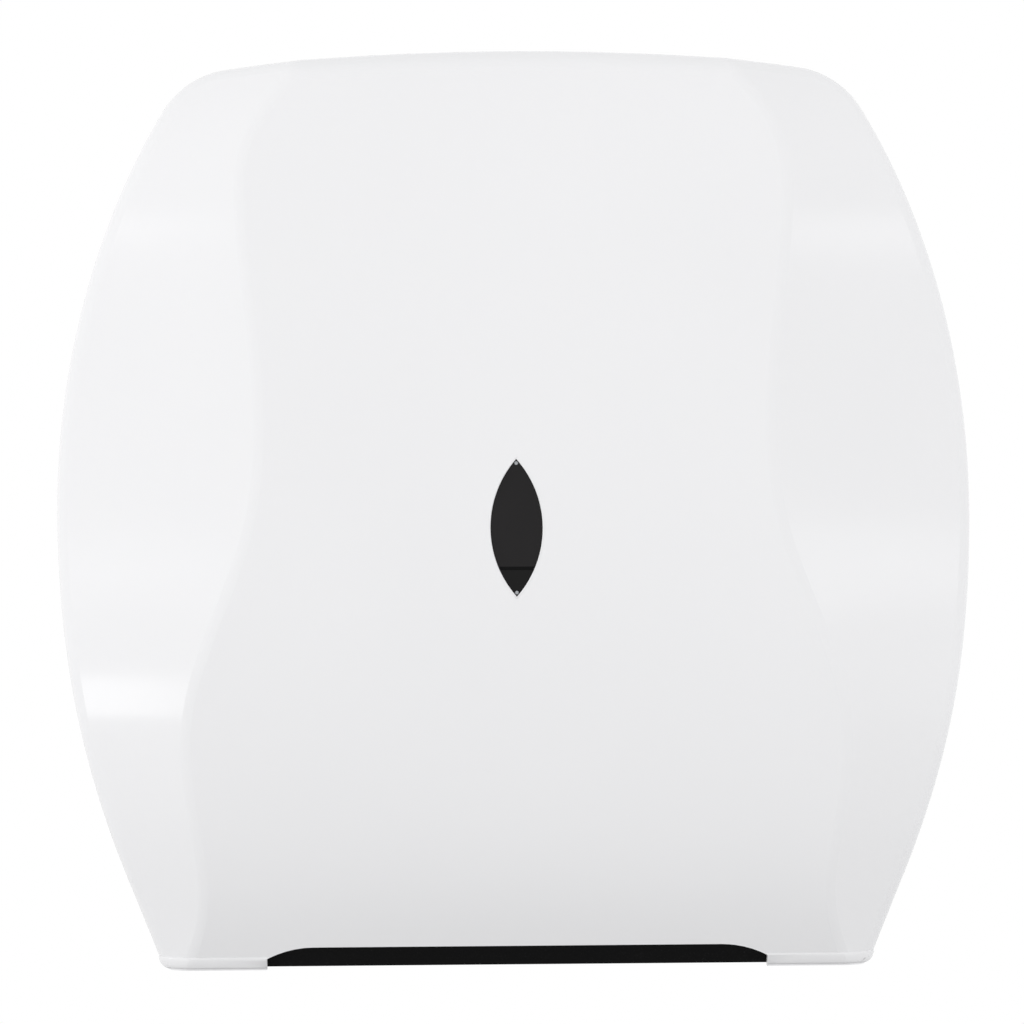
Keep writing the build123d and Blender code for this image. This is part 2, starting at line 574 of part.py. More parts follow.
with BuildPart() as lock_washer:
    with BuildSketch(LEVEL.offset(SEAT_UNDER - WASHER_THICK)):
        with Locations(lock_axis):
            Circle(WASHER_R - 1.2)
            with PolarLocations(WASHER_R - 1.4, TEETH):
                Rectangle(2.8, 2.4)
            Circle(BARREL_R + 0.1, mode=Mode.SUBTRACT)
    extrude(amount=WASHER_THICK)
parts["lock_washer"] = lock_washer

with BuildPart() as lock_nut:
    with BuildSketch(LEVEL.offset(SEAT_UNDER - WASHER_THICK - NUT_THICK)):
        with Locations(lock_axis):
            RegularPolygon(NUT_FLATS / 2, 6, major_radius=False)
            Circle(BARREL_R, mode=Mode.SUBTRACT)
    extrude(amount=NUT_THICK)
parts["lock_nut"] = lock_nut

with BuildPart() as lock_plug:
    face = SEAT_TOP + FLANGE_THICK - 0.3
    rod_upright(0, LOCK_DEPTH, (CAM_TOP, face), PLUG_R)
    rod_upright(0, LOCK_DEPTH, (CAM_TOP, BARREL_FOOT - 0.5), BARREL_R - 1.5)
    block((-STUD / 2, STUD / 2), (LOCK_DEPTH - STUD / 2, LOCK_DEPTH + STUD / 2),
          (CAM_TOP - CAM_THICK, CAM_TOP))
    # The keyway is a narrow slot with a side groove.
    block((-0.6, 0.6), (LOCK_DEPTH - 3.6, LOCK_DEPTH + 3.6), (face - 9, face + 1), mode=Mode.SUBTRACT)
    block((-1.3, 0.6), (LOCK_DEPTH - 1.2, LOCK_DEPTH + 0.6), (face - 9, face + 1), mode=Mode.SUBTRACT)
    rod_upright(0, LOCK_DEPTH, (CAM_TOP - CAM_THICK - 1, CAM_TOP + 7), 1.5, mode=Mode.SUBTRACT)
parts["lock_plug"] = lock_plug

# Unlocked, the cam points to the wall. A quarter turn carries it behind the keeper's tab.
with BuildPart() as lock_cam:
    with BuildSketch(LEVEL.offset(CAM_TOP - CAM_THICK)) as cam_face:
        with Locations(lock_axis):
            Circle(7.5)
        with Locations((0, -LOCK_DEPTH + CAM_REACH / 2)):
            Rectangle(CAM_WIDTH, CAM_REACH)
        tip = cam_face.vertices().group_by(Axis.Y)[-1]
        fillet(tip, 3)
        with Locations(lock_axis):
            Rectangle(STUD, STUD, mode=Mode.SUBTRACT)
    extrude(amount=CAM_THICK)
parts["lock_cam"] = lock_cam

with BuildPart() as cam_screw:
    rod_upright(0, LOCK_DEPTH, (CAM_TOP - CAM_THICK, CAM_TOP + 6), 1.5)
    rod_upright(0, LOCK_DEPTH, (CAM_TOP - CAM_THICK - 1.8, CAM_TOP - CAM_THICK), 4.2)
    fillet(cam_screw.edges().group_by(Axis.Z)[0], 0.8)
    slot = (CAM_TOP - CAM_THICK - 2, CAM_TOP - CAM_THICK - 1)
    block((-5, 5), (LOCK_DEPTH - 0.4, LOCK_DEPTH + 0.4), slot, mode=Mode.SUBTRACT)
parts["cam_screw"] = cam_screw

for name, builder in parts.items():
    print(name, round(builder.part.volume), builder.part.is_valid, len(builder.part.solids()))

os.makedirs("parts", exist_ok=True)
for name, builder in parts.items():
    builder.part.label = name
    export_step(builder.part, f"parts/{name}.step")
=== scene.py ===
# %% [markdown]
# A wall dispenser for folded paper towels.
# The real thing is a box of moulded plastic. A glossy white cover hangs on two pins at its
# foot, and behind it are a white back plate, two grey guides and a black outlet tray.
# The construction comes ready made from the CAD model. This lesson gives every piece its
# finish, adds the small formed details that a mould leaves, and lights it as in a plain
# product photograph.
# %% Load the frame
import math

import bmesh
import bpy
from mathutils import Matrix, Vector


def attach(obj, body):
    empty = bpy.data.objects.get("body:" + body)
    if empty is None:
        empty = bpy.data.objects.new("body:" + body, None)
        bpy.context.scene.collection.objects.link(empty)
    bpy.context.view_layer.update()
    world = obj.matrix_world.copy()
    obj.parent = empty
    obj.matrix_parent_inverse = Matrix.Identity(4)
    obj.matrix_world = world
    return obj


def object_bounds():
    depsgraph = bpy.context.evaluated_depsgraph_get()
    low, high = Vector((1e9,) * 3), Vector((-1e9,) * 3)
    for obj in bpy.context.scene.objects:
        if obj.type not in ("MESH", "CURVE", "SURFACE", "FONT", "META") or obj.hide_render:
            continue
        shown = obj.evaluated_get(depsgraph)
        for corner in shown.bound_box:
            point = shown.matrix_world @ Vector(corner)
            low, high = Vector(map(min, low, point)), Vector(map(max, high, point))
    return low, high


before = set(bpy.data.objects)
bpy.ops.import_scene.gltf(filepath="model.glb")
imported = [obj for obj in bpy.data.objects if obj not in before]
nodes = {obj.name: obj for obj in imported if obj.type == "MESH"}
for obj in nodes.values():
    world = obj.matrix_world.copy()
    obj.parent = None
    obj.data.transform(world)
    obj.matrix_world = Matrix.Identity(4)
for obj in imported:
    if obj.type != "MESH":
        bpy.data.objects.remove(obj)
cad_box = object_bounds()
print("CAD box in mm:", [[round(v * 1000, 1) for v in corner] for corner in cad_box])

MM = 0.001
FOOT = cad_box[0][2]            # the lower edge of the cover, as a Z in metres

# %% [markdown]
# The camera comes first, because every later choice of gloss and light is judged through it.
# The photograph was taken almost square to the front with a longish lens, so the sides hardly
# converge. The cover narrows by two degrees towards the front, so its outline, as the camera
# sees it, lies well in front of the wall and is a little narrower than its rear edge.
# %% Camera
PHOTO_SIZE = 1024
PHOTO_WIDTH_PX = 917            # the dispenser's width in the photograph
CAMERA_DISTANCE = 1.5
OUTLINE_DEPTH = 0.112           # the outline is seen at this distance from the wall
DRAFT = math.radians(2)
YAW, ROLL = math.radians(1.0), math.radians(0.4)
SENSOR = 36.0
SEEN_TO = 50                    # how far the camera sees, in metres
AIM_RIGHT, AIM_DOWN = 1.1 * MM, 2.3 * MM        # where the camera aims, from the box's middle

outline_width = cad_box[1][0] - cad_box[0][0] - 2 * OUTLINE_DEPTH * math.tan(DRAFT)
middle = Vector((AIM_RIGHT, 0, (cad_box[0][2] + cad_box[1][2]) / 2 - AIM_DOWN))
seen_width = outline_width * PHOTO_SIZE / PHOTO_WIDTH_PX

lens = bpy.data.cameras.new("camera")
lens.sensor_width = SENSOR
lens.lens = SENSOR * (CAMERA_DISTANCE - OUTLINE_DEPTH) / seen_width
lens.clip_end = SEEN_TO
camera = bpy.data.objects.new("camera", lens)
bpy.context.scene.collection.objects.link(camera)
direction = Vector((-math.sin(YAW), -math.cos(YAW), 0))
camera.location = middle + direction * CAMERA_DISTANCE
camera.rotation_euler = (math.radians(90), ROLL, -YAW)
bpy.context.scene.camera = camera
print("lens:", round(lens.lens, 1), "mm")

# %% [markdown]
# Effects that several finishes share are node groups, built once. A group only puts out
# numbers, colours and normals that change over the surface. The shader itself stays in each
# material.
# %% Helpers for node groups and materials


def new_group(name, inputs, outputs):
    """A shader node group with named sockets, and its input and output nodes."""
    group = bpy.data.node_groups.new(name, "ShaderNodeTree")
    for socket, kind, value in inputs:
        made = group.interface.new_socket(socket, in_out="INPUT", socket_type=kind)
        made.default_value = value
    for socket, kind in outputs:
        group.interface.new_socket(socket, in_out="OUTPUT", socket_type=kind)
    entry = group.nodes.new("NodeGroupInput")
    leave = group.nodes.new("NodeGroupOutput")
    return group, entry, leave


def add_node(tree, kind, **settings):
    """A node whose settings are given by the names of its sockets or of its properties."""
    node = tree.nodes.new(kind)
    for name, value in settings.items():
        if name in node.inputs:
            node.inputs[name].default_value = value
        else:
            setattr(node, name, value)
    return node


# %% [markdown]
# A mould leaves a faint waviness on a large glossy panel, which shows only in reflections,
# and a much finer grain. Both are noise on object coordinates that feeds a Bump node. The
# stretch input pulls the grain out along one axis, which makes drawn and rolled metal.
# %% Moulded surface group
WAVE_DEPTH, GRAIN_DEPTH = 0.0005, 0.0002        # the heights at full strength, in metres

moulded, entry, leave = new_group(
    "moulded_surface",
    [("Wave Size", "NodeSocketFloat", 30.0), ("Wave Height", "NodeSocketFloat", 0.02),
     ("Grain Size", "NodeSocketFloat", 900.0), ("Grain Height", "NodeSocketFloat", 0.02),
     ("Stretch", "NodeSocketVector", (1.0, 1.0, 1.0))],
    [("Normal", "NodeSocketVector"), ("Patches", "NodeSocketFloat"),
     ("Grain", "NodeSocketFloat")])
place = add_node(moulded, "ShaderNodeTexCoord")
stretched = add_node(moulded, "ShaderNodeVectorMath", operation="MULTIPLY")
wave_noise = add_node(moulded, "ShaderNodeTexNoise", Detail=1.0, Roughness=0.4)
grain_noise = add_node(moulded, "ShaderNodeTexNoise", Detail=3.0, Roughness=0.55)
wave_bump = add_node(moulded, "ShaderNodeBump", Distance=WAVE_DEPTH)
grain_bump = add_node(moulded, "ShaderNodeBump", Distance=GRAIN_DEPTH)
link = moulded.links.new
link(place.outputs["Object"], wave_noise.inputs["Vector"])
link(place.outputs["Object"], stretched.inputs[0])
link(entry.outputs["Stretch"], stretched.inputs[1])
link(stretched.outputs["Vector"], grain_noise.inputs["Vector"])
link(entry.outputs["Wave Size"], wave_noise.inputs["Scale"])
link(entry.outputs["Grain Size"], grain_noise.inputs["Scale"])
link(entry.outputs["Wave Height"], wave_bump.inputs["Strength"])
link(entry.outputs["Grain Height"], grain_bump.inputs["Strength"])
link(wave_noise.outputs["Fac"], wave_bump.inputs["Height"])
link(grain_noise.outputs["Fac"], grain_bump.inputs["Height"])
link(wave_bump.outputs["Normal"], grain_bump.inputs["Normal"])
link(grain_bump.outputs["Normal"], leave.inputs["Normal"])
link(wave_noise.outputs["Fac"], leave.inputs["Patches"])
link(grain_noise.outputs["Fac"], leave.inputs["Grain"])
print("group:", moulded.name)

# %% [markdown]
# Plastic and metal are both a Principled shader with a colour that drifts a little in broad
# patches and a roughness that drifts with the grain. One function makes such a finish, and
# each real finish is a call with its own numbers.
# %% Finish maker
LEAST_ROUGHNESS = 0.02
PATCHES_LOW, PATCHES_HIGH = 0.3, 0.7            # the noise is mostly between these values


def make_finish(name, colour, roughness, metallic=0.0, drift=0.03, rough_drift=0.05,
                wave=(30.0, 0.02), grain=(900.0, 0.02), stretch=(1, 1, 1), specular=0.5):
    """A finish. Wave and grain are each a noise scale, which is larger for a finer pattern,
    and a height."""
    material = bpy.data.materials.new(name)
    material.use_nodes = True
    tree = material.node_tree
    shader = tree.nodes["Principled BSDF"]
    surface = add_node(tree, "ShaderNodeGroup", node_tree=moulded)
    surface.inputs["Wave Size"].default_value, surface.inputs["Wave Height"].default_value = wave
    surface.inputs["Grain Size"].default_value, surface.inputs["Grain Height"].default_value = grain
    surface.inputs["Stretch"].default_value = stretch
    tint = add_node(tree, "ShaderNodeValToRGB")
    darker, lighter = tint.color_ramp.elements
    darker.position, lighter.position = PATCHES_LOW, PATCHES_HIGH
    darker.color = (*[c * (1 - drift) for c in colour], 1)
    lighter.color = (*[min(1.0, c * (1 + drift)) for c in colour], 1)
    rough = add_node(tree, "ShaderNodeMapRange")
    rough.inputs["To Min"].default_value = max(LEAST_ROUGHNESS, roughness - rough_drift)
    rough.inputs["To Max"].default_value = roughness + rough_drift
    tree.links.new(surface.outputs["Patches"], tint.inputs["Fac"])
    tree.links.new(surface.outputs["Grain"], rough.inputs["Value"])
    tree.links.new(tint.outputs["Color"], shader.inputs["Base Color"])
    tree.links.new(rough.outputs["Result"], shader.inputs["Roughness"])
    tree.links.new(surface.outputs["Normal"], shader.inputs["Normal"])
    shader.inputs["Metallic"].default_value = metallic
    shader.inputs["Specular IOR Level"].default_value = specular
    return material


# %% [markdown]
# The plastics. The cover is polished, so its waviness matters more than its grain. The parts
# inside come from a spark-eroded mould, which leaves a matt grain. A new moulding has no wear.
# %% Plastics
white_gloss = make_finish("white_gloss_plastic", (0.86, 0.86, 0.872), 0.16, drift=0.004,
                          rough_drift=0.02, wave=(16.0, 0.06), grain=(700.0, 0.01))
white_matt = make_finish("white_matt_plastic", (0.78, 0.78, 0.79), 0.5, drift=0.012,
                         grain=(1600.0, 0.25))
black_grained = make_finish("black_grained_plastic", (0.004, 0.004, 0.0042), 0.55, drift=0.1,
                            grain=(1500.0, 0.5), specular=0.08)
grey_plastic = make_finish("grey_guide_plastic", (0.42, 0.44, 0.46), 0.42, drift=0.02,
                           grain=(1500.0, 0.2))
nylon = make_finish("natural_nylon", (0.78, 0.76, 0.68), 0.4, drift=0.02)
print("plastics:", [m.name for m in (white_gloss, white_matt, black_grained, grey_plastic, nylon)])

# %% [markdown]
# The metals. The hinge pins are drawn wire, so their grain runs along X. The keeper and the
# small screws are zinc plated, which looks cloudy, and the lock is polished chrome.
# %% Metals
steel = make_finish("drawn_steel", (0.6, 0.6, 0.61), 0.3, metallic=1.0, grain=(1800.0, 0.3),
                    stretch=(0.05, 1, 1))
zinc = make_finish("bright_zinc", (0.66, 0.68, 0.7), 0.33, metallic=1.0, drift=0.08,
                   rough_drift=0.1, wave=(120.0, 0.05), grain=(1800.0, 0.3))
chrome = make_finish("lock_chrome", (0.8, 0.8, 0.81), 0.1, metallic=1.0, drift=0.01)
print("metals:", [m.name for m in (steel, zinc, chrome)])

# %% [markdown]
# The window is smoked styrene, almost black from outside, and what shows in it is mostly the room's
# reflection.
# Its lower end looks darker, because the stack's rest stands behind it. That darker end is painted
# shade:
# a mask on the height makes a step in the lens's own colour.
# %% Smoked lens
WINDOW_Z = FOOT + 141 * MM      # the middle of the leaf-shaped window
STEP_BELOW_MIDDLE, STEP_BLUR = 12.6 * MM, 0.2 * MM
PAINTED_SHADE_GREY = (0.1, 0.1, 0.1, 1)
smoked = make_finish("smoked_lens", (0.009, 0.008, 0.0085), 0.05, drift=0.1, rough_drift=0.01,
                     wave=(40.0, 0.03), specular=0.2)
tree = smoked.node_tree
spot = add_node(tree, "ShaderNodeTexCoord")
parts_of_spot = add_node(tree, "ShaderNodeSeparateXYZ")
above = add_node(tree, "ShaderNodeMapRange")
above.inputs["From Min"].default_value = WINDOW_Z - STEP_BELOW_MIDDLE - STEP_BLUR
above.inputs["From Max"].default_value = WINDOW_Z - STEP_BELOW_MIDDLE
# Painted shade: below the step, the lens colour is multiplied by a dark grey.
painted_shade_multiply = add_node(tree, "ShaderNodeMix", data_type="RGBA", blend_type="MULTIPLY")
shade = add_node(tree, "ShaderNodeMix", data_type="RGBA")
FACTOR, FIRST, SECOND, RESULT = 0, 6, 7, 2      # sockets of a Mix node that mixes colours
shade.inputs[FIRST].default_value = PAINTED_SHADE_GREY
shade.inputs[SECOND].default_value = (1, 1, 1, 1)
painted_shade_multiply.inputs[FACTOR].default_value = 1.0
tree.links.new(spot.outputs["Object"], parts_of_spot.inputs["Vector"])
tree.links.new(parts_of_spot.outputs["Z"], above.inputs["Value"])
tree.links.new(above.outputs["Result"], shade.inputs[FACTOR])
shader_colour = tree.nodes["Principled BSDF"].inputs["Base Color"]
tree.links.new(shader_colour.links[0].from_socket, painted_shade_multiply.inputs[FIRST])
tree.links.new(shade.outputs[RESULT], painted_shade_multiply.inputs[SECOND])
tree.links.new(painted_shade_multiply.outputs[RESULT], shader_colour)
print("lens step at", round((WINDOW_Z - STEP_BELOW_MIDDLE) * 1000, 1), "mm")

# %% [markdown]
# Each CAD node keeps its shape and gets the finish that the table below gives it. The material goes
# into the node's own mesh, so it goes wherever the node's body goes.
# %% Finishes on the CAD nodes
FINISHES = {
    "front_cover": white_gloss, "view_window": smoked, "window_clips": zinc,
    "back_plate": white_matt, "outlet_tray": black_grained, "outlet_throat": black_grained,
    "tray_screws": zinc,
    "side_guide_right": grey_plastic, "side_guide_left": grey_plastic, "guide_screws": zinc,
    "hinge_pin_right": steel, "hinge_pin_left": steel,
    "hinge_bush_right": nylon, "hinge_bush_left": nylon,
    "latch_keeper": zinc, "keeper_screws": zinc,
    "lock_barrel": chrome, "lock_washer": zinc, "lock_nut": zinc,
    "lock_plug": chrome, "lock_cam": zinc, "cam_screw": zinc,
}
for name, material in FINISHES.items():
    piece = nodes[name]
    piece.data.materials.clear()
    piece.data.materials.append(material)
print("finishes on", len(FINISHES), "of", len(nodes), "nodes")

# %% [markdown]
# New pieces are bmeshes that become objects at the origin. Details on the cover have to sit
# on its curved skin, so a helper asks the CAD mesh itself where the skin is, by casting a ray.
# %% Helpers for pieces


def make_piece(name, bm, material, body):
    """Turn a bmesh into an object that rides on a body."""
    bmesh.ops.recalc_face_normals(bm, faces=bm.faces)
    mesh = bpy.data.meshes.new(name)
    bm.to_mesh(mesh)
    bm.free()
    mesh.shade_smooth()
    piece = bpy.data.objects.new(name, mesh)
    bpy.context.scene.collection.objects.link(piece)
    mesh.materials.append(material)
    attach(piece, body)
    print(name, "faces:", len(mesh.polygons))
    return piece


bpy.context.view_layer.update()


def skin_y(node, x, z, start_y=-1.0, towards=1):
    """The Y at which a ray along Y first meets a CAD node."""
    found, place, _, _ = nodes[node].ray_cast(Vector((x, start_y, z)), Vector((0, towards, 0)))
    assert found, (node, x, z)
    return place.y


# %% [markdown]
# A rounded lip runs along the lower edge of the cover and stops at the outlet. It follows
# the skin exactly, so it is cut out of a merged copy of the cover's own mesh. Two planes
# leave a narrow band, a few more planes give it rows to bend at, and the inward faces go.
# %% Band for the lower lip
LIP_LOW, LIP_HIGH = 0.5 * MM, 4.4 * MM
LIP_STEPS = 6
SAME_POINT = 1e-6

bm = bmesh.new()
bm.from_mesh(nodes["front_cover"].data)
bmesh.ops.remove_doubles(bm, verts=bm.verts, dist=SAME_POINT)
for height, side in ((LIP_LOW, -1), (LIP_HIGH, 1)):
    bmesh.ops.bisect_plane(bm, geom=bm.verts[:] + bm.edges[:] + bm.faces[:],
                           plane_co=(0, 0, FOOT + height), plane_no=(0, 0, side), clear_outer=True)
for step in range(1, LIP_STEPS):
    height = LIP_LOW + (LIP_HIGH - LIP_LOW) * step / LIP_STEPS
    bmesh.ops.bisect_plane(bm, geom=bm.verts[:] + bm.edges[:] + bm.faces[:],
                           plane_co=(0, 0, FOOT + height), plane_no=(0, 0, 1))
bm.normal_update()
SPOKES_FROM_Y = -0.02           # spokes run from here to every face, and outward faces follow them
OUTWARD = 0.3                   # the least cosine between an outward face and its spoke
inward = []
for face in bm.faces:
    spoke = face.calc_center_median() - Vector((0, SPOKES_FROM_Y, 0))
    spoke.z = 0
    if face.normal.dot(spoke.normalized()) < OUTWARD:
        inward.append(face)
bmesh.ops.delete(bm, geom=inward, context="FACES")
print("lip band faces:", len(bm.faces))

# %% [markdown]
# The band swells to a half-round section: each point moves out from the skin, the most at
# half height and not at all at the two rims. Solidify then gives the thin skin a body.
# %% Lower lip
LIP_PROUD, LIP_ROOT = 0.5 * MM, 0.4 * MM

bm.normal_update()
half = (LIP_HIGH - LIP_LOW) / 2
for vert in bm.verts:
    away = Vector((vert.normal.x, vert.normal.y, 0)).normalized()
    rise = (vert.co.z - FOOT - LIP_LOW - half) / half
    vert.co += away * LIP_PROUD * math.sqrt(max(0.0, 1 - rise * rise))
bmesh.ops.solidify(bm, geom=bm.faces, thickness=LIP_ROOT)
make_piece("lower_lip", bm, white_gloss, "cover")

# %% [markdown]
# The window's hole has a slightly rolled edge, which catches the light as a thin line. It is
# a small round section that is spun along each of the leaf's two arcs, then laid on the skin.
# %% Rolled edge of the window hole
LEAF_HALF_X, LEAF_HALF_Z = 8.5 * MM, 22.0 * MM
EDGE_R, EDGE_SINK = 0.4 * MM, 0.28 * MM
EDGE_SIDES, EDGE_STEPS = 10, 28
EDGE_SAME_POINT = 1e-7
BESIDE_WINDOW = 12 * MM         # where a ray finds the skin and not the lens
arc_radius = (LEAF_HALF_X**2 + LEAF_HALF_Z**2) / (2 * LEAF_HALF_X)
arc_angle = 2 * math.asin(LEAF_HALF_Z / arc_radius)
arc_centre = LEAF_HALF_X - arc_radius

bm = bmesh.new()
for side in (1, -1):
    section = bmesh.ops.create_circle(bm, segments=EDGE_SIDES, radius=EDGE_R,
                                       cap_ends=True)["verts"]
    # The section stands square to the arc where it starts, at the leaf's lower tip.
    lean = Matrix.Rotation(side * arc_angle / 2, 4, "Y")
    bmesh.ops.transform(bm, verts=section, matrix=Matrix.Translation((0, 0, -LEAF_HALF_Z)) @ lean)
    faces = [face for face in bm.faces if all(vert in section for vert in face.verts)]
    bmesh.ops.spin(bm, geom=faces + section + list({e for v in section for e in v.link_edges}),
                   cent=(side * arc_centre, 0, 0), axis=(0, -side, 0), angle=arc_angle,
                   steps=EDGE_STEPS)
bmesh.ops.remove_doubles(bm, verts=bm.verts, dist=EDGE_SAME_POINT)
for vert in bm.verts:
    vert.co.z += WINDOW_Z
    vert.co.y += skin_y("front_cover", BESIDE_WINDOW, vert.co.z) + EDGE_SINK
make_piece("window_edge", bm, white_gloss, "cover")

# %% [markdown]
# On the lens itself there is a fine bar where the stack's rest shows. It is a cube that is
# squeezed to the leaf's width at that height, bevelled and laid on the lens.
# %% Lens bar
LENS_RECESS = 0.8 * MM
BAR_HIGH, BAR_DEEP, BAR_PROUD, BAR_ROUND = 1.1 * MM, 0.5 * MM, 0.12 * MM, 0.1 * MM

bar_half = arc_centre + math.sqrt(arc_radius**2 - STEP_BELOW_MIDDLE**2)
bar_z = WINDOW_Z - STEP_BELOW_MIDDLE
bar_y = skin_y("front_cover", BESIDE_WINDOW, bar_z) + LENS_RECESS - BAR_PROUD + BAR_DEEP / 2
bm = bmesh.new()
cube = bmesh.ops.create_cube(bm, size=1)["verts"]
bmesh.ops.scale(bm, verts=cube, vec=(2 * bar_half, BAR_DEEP, BAR_HIGH))
bmesh.ops.translate(bm, verts=cube, vec=(0, bar_y, bar_z))
bmesh.ops.bevel(bm, geom=bm.edges[:], offset=BAR_ROUND, segments=2, profile=0.5, affect="EDGES",
                material=-1)
make_piece("lens_bar", bm, black_grained, "cover")

# %% [markdown]
# At each tip of the lens a painted highlight is placed: a small flattened sphere of grey plastic,
# whose light colour stands in for the glint that the tip catches.
# %% Painted highlights at the lens tips
GLINT_R, GLINT_OFFSET, GLINT_FLAT = 0.6 * MM, 20.2 * MM, 0.5
GLINT_SEGMENTS, GLINT_RINGS = 16, 8

bm = bmesh.new()
for side in (1, -1):
    glint_z = WINDOW_Z + side * GLINT_OFFSET
    glint_y = skin_y("front_cover", BESIDE_WINDOW, glint_z) + LENS_RECESS
    ball = bmesh.ops.create_uvsphere(bm, u_segments=GLINT_SEGMENTS, v_segments=GLINT_RINGS,
                                     radius=GLINT_R)["verts"]
    bmesh.ops.scale(bm, verts=ball, vec=(1, GLINT_FLAT, 1))
    bmesh.ops.translate(bm, verts=ball, vec=(0, glint_y, glint_z))
# Painted highlight: the grey of these spheres stands in for the glint at each tip of the lens.
make_piece("lens_tip_glints", bm, grey_plastic, "cover")

# %% [markdown]
# Inside the cover, the ejector pins of the mould leave flat round marks. They are only seen
# when the cover hangs open, but they tell the eye how big it is. Each is a thin bevelled disc
# that is laid on the inner skin.
# %% Ejector marks
MARK_R, MARK_THICK, MARK_STEPS = 3.5 * MM, 0.5 * MM, 24
MARK_RISE, MARK_CHAMFER = 0.2 * MM, 0.3 * MM
MARK_XS, MARK_HEIGHTS = (-50 * MM, 50 * MM), (90 * MM, 150 * MM, 210 * MM)
INSIDE_Y = -0.08                # rays start here, between the back plate and the cover's skin

bm = bmesh.new()
for x in MARK_XS:
    for height in MARK_HEIGHTS:
        z = FOOT + height
        above_y = skin_y("front_cover", x, z + MARK_R, INSIDE_Y, -1)
        below_y = skin_y("front_cover", x, z - MARK_R, INSIDE_Y, -1)
        tilt = math.atan2(below_y - above_y, 2 * MARK_R)
        disc = bmesh.ops.create_cone(bm, cap_ends=True, segments=MARK_STEPS, radius1=MARK_R,
                                     radius2=MARK_R - MARK_CHAMFER, depth=MARK_THICK)["verts"]
        lean = Matrix.Rotation(math.radians(-90) - tilt, 4, "X")
        seat = Matrix.Translation((x, (above_y + below_y) / 2 - MARK_THICK / 2 + MARK_RISE, z))
        bmesh.ops.transform(bm, verts=disc, matrix=seat @ lean)
make_piece("ejector_marks", bm, white_gloss, "cover")

# %% [markdown]
# The stack slides on low runners in the black tray, so that it doesn't stick to the floor.
# Each is a squeezed cube whose upper edges are rounded by a bevel.
# %% Tray runners
RUNNER_WIDE, RUNNER_HIGH, RUNNER_SUNK = 2.4 * MM, 1.2 * MM, 0.4 * MM
RUNNER_ROUND = 0.7 * MM
FLOOR_TOP = FOOT + 23.5 * MM
RUNNER_XS = [x * MM for x in (-69, -46, -23, 0, 23, 46, 69)]
RUNNER_REAR, RUNNER_FRONT = (11 * MM, 30 * MM), (86 * MM, 104 * MM)

bm = bmesh.new()
for x in RUNNER_XS:
    for near, far in (RUNNER_REAR, RUNNER_FRONT):
        bar = bmesh.ops.create_cube(bm, size=1)["verts"]
        bmesh.ops.scale(bm, verts=bar, vec=(RUNNER_WIDE, far - near, RUNNER_HIGH + RUNNER_SUNK))
        bmesh.ops.translate(bm, verts=bar, vec=(x, -(near + far) / 2,
                                                FLOOR_TOP + (RUNNER_HIGH - RUNNER_SUNK) / 2))
upper = [edge for edge in bm.edges if all(v.co.z > FLOOR_TOP + RUNNER_HIGH / 2 for v in edge.verts)]
bmesh.ops.bevel(bm, geom=upper, offset=RUNNER_ROUND, segments=3, profile=0.5, affect="EDGES",
                material=-1)
make_piece("tray_runners", bm, black_grained, "base")

# %% [markdown]
# Each guide is stiffened by three long beads on the side that faces away from the paper.
# A bead is a slim cylinder with rounded ends, half of it sunk into the guide.
# %% Guide beads
BEAD_RADIUS, BEAD_FROM, BEAD_TO = 1.2 * MM, 14 * MM, 82 * MM
BEAD_SEGMENTS, BEAD_END_ROUND = 16, 0.6 * MM
RIM_ANGLE = 1.2                 # only the rims of the two ends bend more than this, in radians
GUIDE_OUTER = 119.2 * MM
BEAD_HEIGHTS = [height * MM for height in (60, 125, 192)]

for side, name in ((1, "right"), (-1, "left")):
    bm = bmesh.new()
    for height in BEAD_HEIGHTS:
        rod = bmesh.ops.create_cone(bm, cap_ends=True, segments=BEAD_SEGMENTS, radius1=BEAD_RADIUS,
                                    radius2=BEAD_RADIUS, depth=BEAD_TO - BEAD_FROM)["verts"]
        lay = Matrix.Translation((side * GUIDE_OUTER, -(BEAD_FROM + BEAD_TO) / 2, FOOT + height))
        bmesh.ops.transform(bm, verts=rod, matrix=lay @ Matrix.Rotation(math.radians(90), 4, "X"))
    rims = [edge for edge in bm.edges if edge.calc_face_angle(0) > RIM_ANGLE]
    bmesh.ops.bevel(bm, geom=rims, offset=BEAD_END_ROUND, segments=3, profile=0.5,
                    affect="EDGES", material=-1)
    make_piece(f"guide_beads_{name}", bm, grey_plastic, "base")

# %% [markdown]
# A white object on a white ground is drawn by small steps of grey. The room is a pale dome
# that is darker overhead and a little darker below and on the right, so the top doesn't burn
# out and the right side falls off. A colour ramp over the height holds the three greys.
# %% Room
ROOM_STRENGTH = 1.175
ROOM_TOP, ROOM_SIDE, ROOM_BELOW = 0.70, 1.0, 0.98
ROOM_LEAN = 0.11                # how much darker the right is than the middle

world = bpy.data.worlds.new("studio")
world.use_nodes = True
bpy.context.scene.world = world
tree = world.node_tree
dome = tree.nodes["Background"]
where = add_node(tree, "ShaderNodeTexCoord")
way = add_node(tree, "ShaderNodeSeparateXYZ")
height = add_node(tree, "ShaderNodeMapRange")
height.inputs["From Min"].default_value = -1.0
rise = add_node(tree, "ShaderNodeValToRGB")
